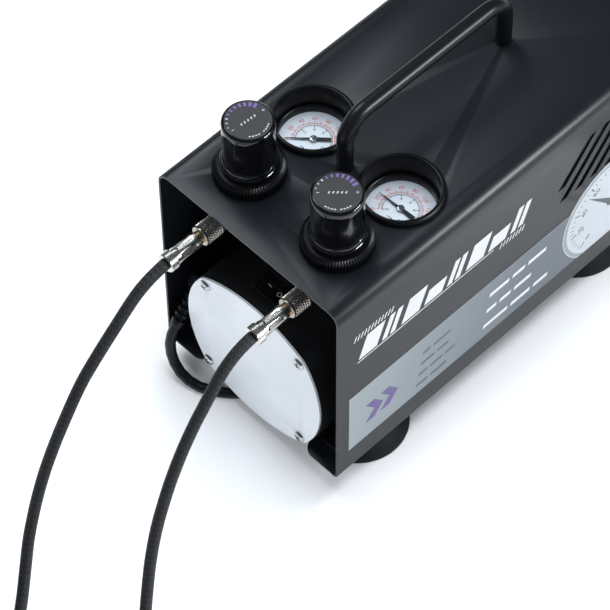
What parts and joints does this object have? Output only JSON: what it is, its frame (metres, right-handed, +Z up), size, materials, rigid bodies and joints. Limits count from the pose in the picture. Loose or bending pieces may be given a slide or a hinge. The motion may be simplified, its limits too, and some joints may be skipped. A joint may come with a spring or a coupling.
{
  "type": "airbrush compressor",
  "caption": "Compact piston air compressor in a folded steel case, with paired regulators, gauges and air hoses, a carrying handle and suction feet.",
  "frame": {"origin": "on the surface that the feet stand on, under the middle of the case", "axes": "+Z up, -Y towards the open front with the air outlets, +X towards the side with the label"},
  "size_m": [0.2114, 0.691, 0.2247],
  "materials": {
    "case_paint": "satin, fine powder coat",
    "tray_steel": "zinc-plated sheet",
    "foot_rubber": "soft matte",
    "zinc_screws": "bright zinc",
    "handle_paint": "satin",
    "label_film": "satin film with a printed dial graphic",
    "cast_zinc": "cast, satin",
    "black_nylon": "matte",
    "brass": "satin",
    "knob_plastic": "satin",
    "cap_print": "satin with printed tick marks",
    "black_steel": "satin",
    "dial_white": "satin, printed scale",
    "clear_lens": "clear",
    "needle_black": "matte",
    "nickel": "nickel plate",
    "hose_braid": "braided sleeve",
    "housing_black": "fine texture",
    "gasket_rubber": "matte",
    "plate_white": "satin",
    "rocker_plastic": "gloss",
    "winding_copper": "enamelled wire",
    "ground_steel": "ground",
    "cast_aluminium": "cast",
    "tank_paint": "satin",
    "cord_rubber": "matte"
  },
  "bodies": {
    "case": {"cover_shell": "case_paint", "base_plate": "tray_steel", "rubber_feet": "foot_rubber", "foot_screws": "zinc_screws", "cover_screws": "zinc_screws", "handle_tube": "handle_paint", "handle_nuts": "zinc_screws", "side_label": "label_film", "regulator_bodies": "cast_zinc", "panel_rings": "black_nylon", "gauge_trims": "black_nylon", "gauge_cases": "black_steel", "gauge_dials": "dial_white", "gauge_lenses": "clear_lens", "outlet_nipples": "nickel", "hose_barrels": "nickel", "air_hose_left": "hose_braid", "air_hose_right": "hose_braid", "hose_coil_left": "hose_braid", "hose_coil_right": "hose_braid", "end_housing": "housing_black", "end_gasket": "gasket_rubber", "end_plate": "plate_white", "end_screws": "zinc_screws", "switch_frame": "black_nylon", "motor_shell": "housing_black", "stator": "winding_copper", "bearings": "ground_steel", "crankcase": "cast_aluminium", "cylinder": "cast_aluminium", "cylinder_head": "cast_aluminium", "air_tank": "tank_paint", "air_pipes": "brass", "pressure_switch": "black_nylon", "safety_valve": "brass", "strain_relief": "cord_rubber", "mains_lead": "cord_rubber", "mains_coil": "cord_rubber", "mains_plug": "cord_rubber"},
    "spindle_left": {"spindle_left": "brass"},
    "spindle_right": {"spindle_right": "brass"},
    "knob_left": {"knob_left": "knob_plastic", "knob_cap_left": "cap_print"},
    "knob_right": {"knob_right": "knob_plastic", "knob_cap_right": "cap_print"},
    "needle_left": {"needle_left": "needle_black"},
    "needle_right": {"needle_right": "needle_black"},
    "rocker": {"switch_rocker": "rocker_plastic"},
    "hose_nut_left": {"hose_nut_left": "nickel"},
    "hose_nut_right": {"hose_nut_right": "nickel"},
    "hose_end_nut_left": {"hose_end_nut_left": "nickel"},
    "hose_end_nut_right": {"hose_end_nut_right": "nickel"},
    "crankshaft": {"motor_shaft": "ground_steel", "rotor_core": "ground_steel", "cooling_fan": "black_nylon", "crank_disc": "ground_steel"},
    "piston_rod": {"piston_rod": "cast_aluminium"},
    "piston": {"piston": "cast_aluminium"},
    "safety_pin": {"safety_pin": "ground_steel"},
    "drain_valve": {"drain_valve": "brass"}
  },
  "joints": [
    {"name": "regulator_turn_left", "type": "hinge", "parent": "case", "child": "spindle_left", "pos_m": [-0.034, -0.1027, 0], "axis": [0, 0, -1], "range_deg": [0, 1080]},
    {"name": "regulator_turn_right", "type": "hinge", "parent": "case", "child": "spindle_right", "pos_m": [0.034, -0.1027, 0], "axis": [0, 0, -1], "range_deg": [-180, 900]},
    {"name": "knob_lift_left", "type": "slide", "parent": "spindle_left", "child": "knob_left", "axis": [0, 0, 1], "range_m": [0, 0.004]},
    {"name": "knob_lift_right", "type": "slide", "parent": "spindle_right", "child": "knob_right", "axis": [0, 0, 1], "range_m": [0, 0.004]},
    {"name": "needle_turn_left", "type": "hinge", "parent": "case", "child": "needle_left", "pos_m": [-0.034, -0.0535, 0], "axis": [0, 0, -1], "range_deg": [0, 270]},
    {"name": "needle_turn_right", "type": "hinge", "parent": "case", "child": "needle_right", "pos_m": [0.034, -0.0535, 0], "axis": [0, 0, -1], "range_deg": [-40, 230]},
    {"name": "switch_rock", "type": "hinge", "parent": "case", "child": "rocker", "pos_m": [0, -0.1208, 0.1135], "axis": [0, 1, 0], "range_deg": [-18, 0]},
    {"name": "nut_turn_left", "type": "hinge", "parent": "case", "child": "hose_nut_left", "pos_m": [-0.034, -0.138, 0.1555], "axis": [0, 1, 0], "continuous": true},
    {"name": "nut_turn_right", "type": "hinge", "parent": "case", "child": "hose_nut_right", "pos_m": [0.034, -0.138, 0.1555], "axis": [0, 1, 0], "continuous": true},
    {"name": "end_nut_turn_left", "type": "hinge", "parent": "case", "child": "hose_end_nut_left", "pos_m": [-0.021, -0.44475, 0.0068], "axis": [-0.9942, -0.108, 0], "continuous": true},
    {"name": "end_nut_turn_right", "type": "hinge", "parent": "case", "child": "hose_end_nut_right", "pos_m": [0.11338, -0.41361, 0.0068], "axis": [-0.807, -0.5906, 0], "continuous": true},
    {"name": "motor_turn", "type": "hinge", "parent": "case", "child": "crankshaft", "pos_m": [0, -0.112, 0.0625], "axis": [0, 1, 0], "continuous": true},
    {"name": "rod_turn", "type": "hinge", "parent": "crankshaft", "child": "piston_rod", "pos_m": [0, -0.0056, 0.0665], "axis": [0, 1, 0], "continuous": true},
    {"name": "piston_stroke", "type": "slide", "parent": "case", "child": "piston", "axis": [0, 0, 1], "range_m": [-0.008, 0]},
    {"name": "safety_pin_pull", "type": "slide", "parent": "case", "child": "safety_pin", "axis": [0, 1, 0], "range_m": [0, 0.003], "stiffness_N_per_m": 800},
    {"name": "drain_turn", "type": "hinge", "parent": "case", "child": "drain_valve", "pos_m": [-0.008, 0.074, 0.01], "axis": [0, 0, -1], "range_deg": [0, 720]}
  ],
  "couplings": [
    {"joint": "rod_turn", "follows": "motor_turn", "ratio": -1}
  ]
}
